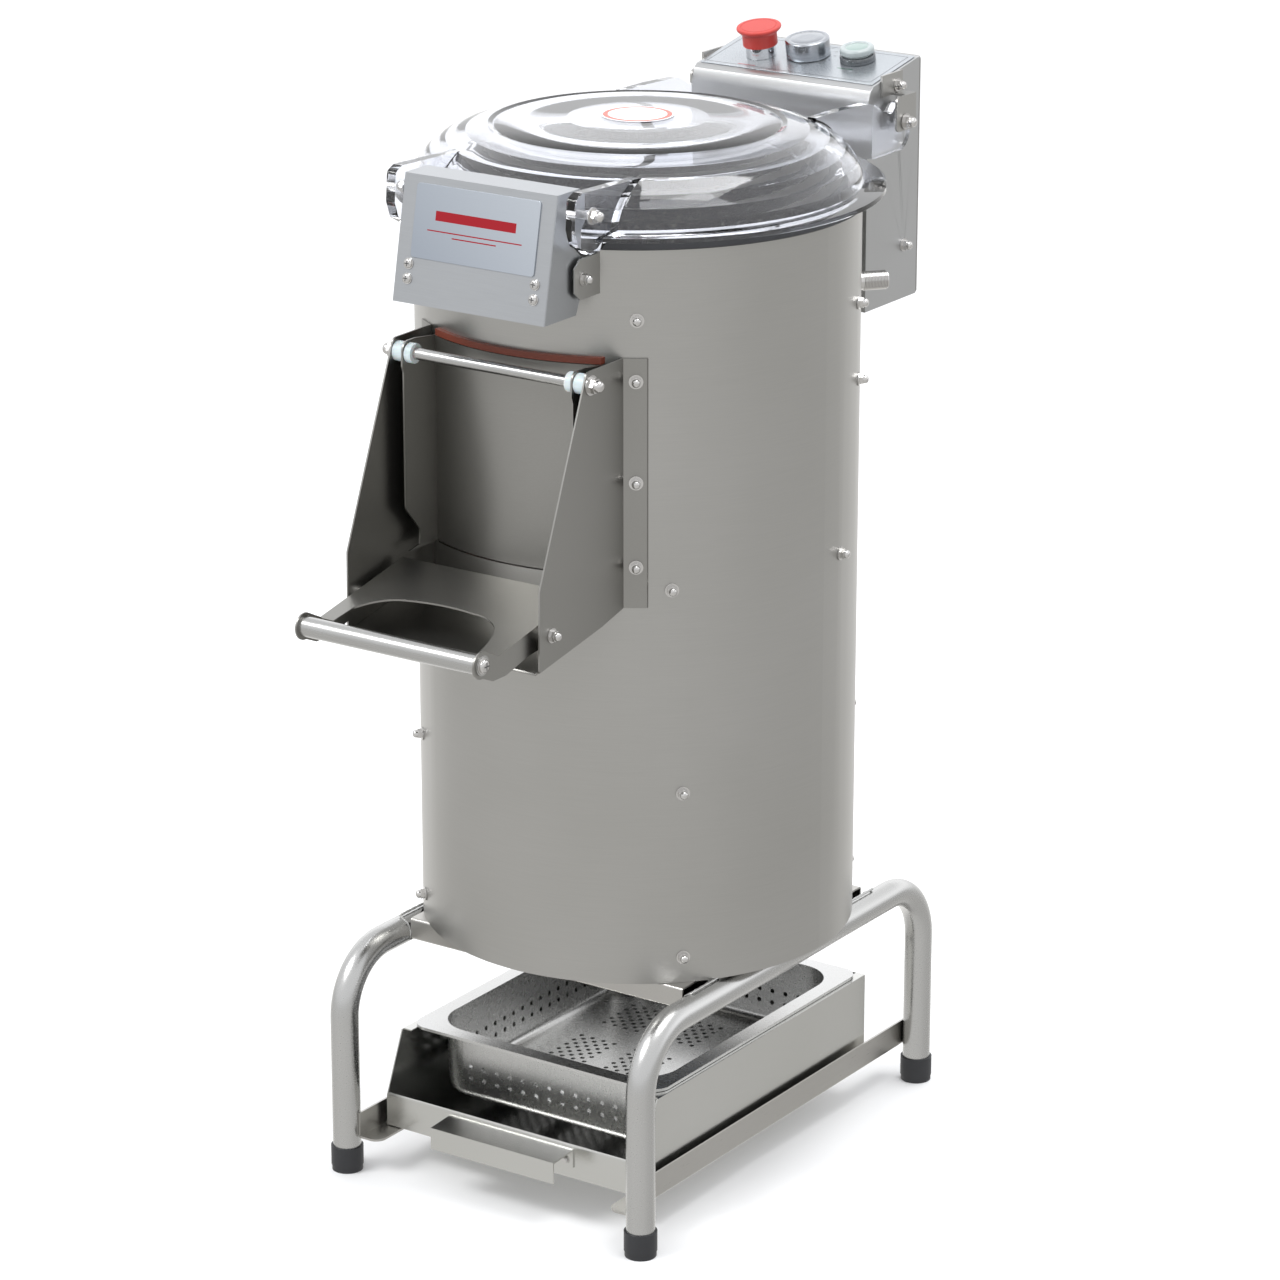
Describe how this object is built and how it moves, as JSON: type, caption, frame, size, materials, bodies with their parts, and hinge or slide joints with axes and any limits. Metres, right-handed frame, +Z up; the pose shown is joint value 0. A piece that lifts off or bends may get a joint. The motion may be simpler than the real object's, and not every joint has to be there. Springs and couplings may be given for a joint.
{
  "type": "vegetable peeling machine",
  "caption": "Floor-standing drum peeler: clear hinged lid, latch, discharge door with lever chute, belt-driven abrasive turntable, control box and a filter drawer on a tube stand.",
  "frame": {"origin": "centre of the footprint on the floor, under the drum axis", "axes": "+Z up, -Y towards the discharge door, +X to the right of someone facing the door"},
  "size_m": [0.42, 0.7232, 0.9548],
  "materials": {
    "brushed_steel": "brushed stainless sheet",
    "bright_steel": "bright stainless fasteners",
    "drawer_steel": "brushed stainless sheet",
    "pan_steel": "pressed and polished stainless",
    "clear_plastic": "clear polycarbonate, faint blue",
    "black_rubber": "matt black rubber",
    "brown_rubber": "red-brown silicone strip",
    "abrasive": "coarse dark abrasive",
    "cast_aluminium": "machined casting",
    "spun_aluminium": "spun aluminium",
    "plate_aluminium": "brushed plate with border line",
    "panel_foil": "printed silver foil, no text",
    "red_plastic": "satin red moulding",
    "chrome": "chromed ring",
    "green_plastic": "translucent grey-green cap",
    "dark_plastic": "dark grey moulding",
    "white_nylon": "natural nylon",
    "motor_paint": "dark blue-grey paint",
    "shaft_steel": "ground steel",
    "belt_rubber": "black belt"
  },
  "bodies": {
    "machine": {"left_side_frame": "brushed_steel", "right_side_frame": "brushed_steel", "cross_members": "brushed_steel", "left_drawer_rail": "brushed_steel", "right_drawer_rail": "brushed_steel", "rubber_feet": "black_rubber", "drum_shell": "brushed_steel", "chamber_floor": "brushed_steel", "abrasive_liner": "abrasive", "drum_screws": "bright_steel", "water_inlet": "bright_steel", "box_bracket": "brushed_steel", "bearing_housing": "cast_aluminium", "bearings": "shaft_steel", "shaft_seal": "black_rubber", "drive_belt": "belt_rubber", "motor_body": "motor_paint", "motor_plate": "brushed_steel", "motor_hangers": "bright_steel", "hinge_brackets": "brushed_steel", "catch_tabs": "brushed_steel", "left_cheek": "brushed_steel", "right_cheek": "brushed_steel", "chute_floor": "brushed_steel", "hinge_rod": "bright_steel", "rod_nuts": "bright_steel", "rod_spacers": "white_nylon", "door_gasket": "brown_rubber", "lever_pivot_bolts": "bright_steel", "control_box": "brushed_steel", "box_back_cover": "brushed_steel", "control_foil": "panel_foil", "estop_collar": "chrome", "start_collar": "dark_plastic", "switch_blocks": "dark_plastic", "cable_gland": "dark_plastic"},
    "lid": {"lid_dome": "clear_plastic", "lid_gasket": "black_rubber", "lid_bolts": "bright_steel"},
    "latch": {"latch_cover": "brushed_steel", "name_plate": "plate_aluminium", "latch_screws": "bright_steel"},
    "door": {"discharge_door": "brushed_steel"},
    "lever": {"lever_flap": "brushed_steel", "handle_bar": "bright_steel", "handle_end_screws": "bright_steel"},
    "drawer": {"filter_drawer": "drawer_steel", "drawer_handle": "brushed_steel", "drawer_handle_screws": "bright_steel"},
    "pan": {"perforated_pan": "pan_steel"},
    "estop": {"estop_button": "red_plastic"},
    "knob": {"timer_knob": "spun_aluminium"},
    "start": {"start_button": "green_plastic"},
    "rotor": {"turntable": "cast_aluminium", "abrasive_disc": "abrasive", "turntable_nut": "bright_steel", "drive_shaft": "shaft_steel", "driven_pulley": "cast_aluminium"},
    "motor_rotor": {"motor_shaft": "shaft_steel", "motor_pulley": "cast_aluminium"}
  },
  "joints": [
    {"name": "lid_hinge", "type": "hinge", "parent": "machine", "child": "lid", "pos_m": [0, 0.256, 0.884], "axis": [-1, 0, 0], "range_deg": [0, 65]},
    {"name": "latch_swing", "type": "hinge", "parent": "lid", "child": "latch", "pos_m": [0, -0.203, 0.888], "axis": [-1, 0, 0], "range_deg": [0, 35]},
    {"name": "door_swing", "type": "hinge", "parent": "machine", "child": "door", "pos_m": [0, -0.2115, 0.7505], "axis": [-1, 0, 0], "range_deg": [0, 75]},
    {"name": "lever_lift", "type": "hinge", "parent": "machine", "child": "lever", "pos_m": [0, -0.268, 0.5535], "axis": [-1, 0, 0], "range_deg": [0, 30]},
    {"name": "drawer_slide", "type": "slide", "parent": "machine", "child": "drawer", "axis": [0, -1, 0], "range_m": [0, 0.3]},
    {"name": "pan_lift", "type": "slide", "parent": "drawer", "child": "pan", "axis": [0, 0, 1], "range_m": [0, 0.06]},
    {"name": "estop_push", "type": "slide", "parent": "machine", "child": "estop", "axis": [0, 0.1805, -0.9836], "range_m": [0, 0.005], "stiffness_N_per_m": 400, "springref_m": -0.001},
    {"name": "timer_turn", "type": "hinge", "parent": "machine", "child": "knob", "pos_m": [-0.0034, 0.274, 0.92592], "axis": [0, -0.1805, 0.9836], "range_deg": [-300, 0]},
    {"name": "start_push", "type": "slide", "parent": "machine", "child": "start", "axis": [0, 0.1805, -0.9836], "range_m": [0, 0.0015], "stiffness_N_per_m": 400, "springref_m": -0.001},
    {"name": "rotor_spin", "type": "hinge", "parent": "machine", "child": "rotor", "pos_m": [0, 0, 0.442], "axis": [0, 0, 1], "continuous": true},
    {"name": "motor_spin", "type": "hinge", "parent": "machine", "child": "motor_rotor", "pos_m": [0, 0.112, 0.442], "axis": [0, 0, 1], "continuous": true}
  ],
  "couplings": [
    {"joint": "motor_spin", "follows": "rotor_spin", "ratio": 3.3333}
  ]
}
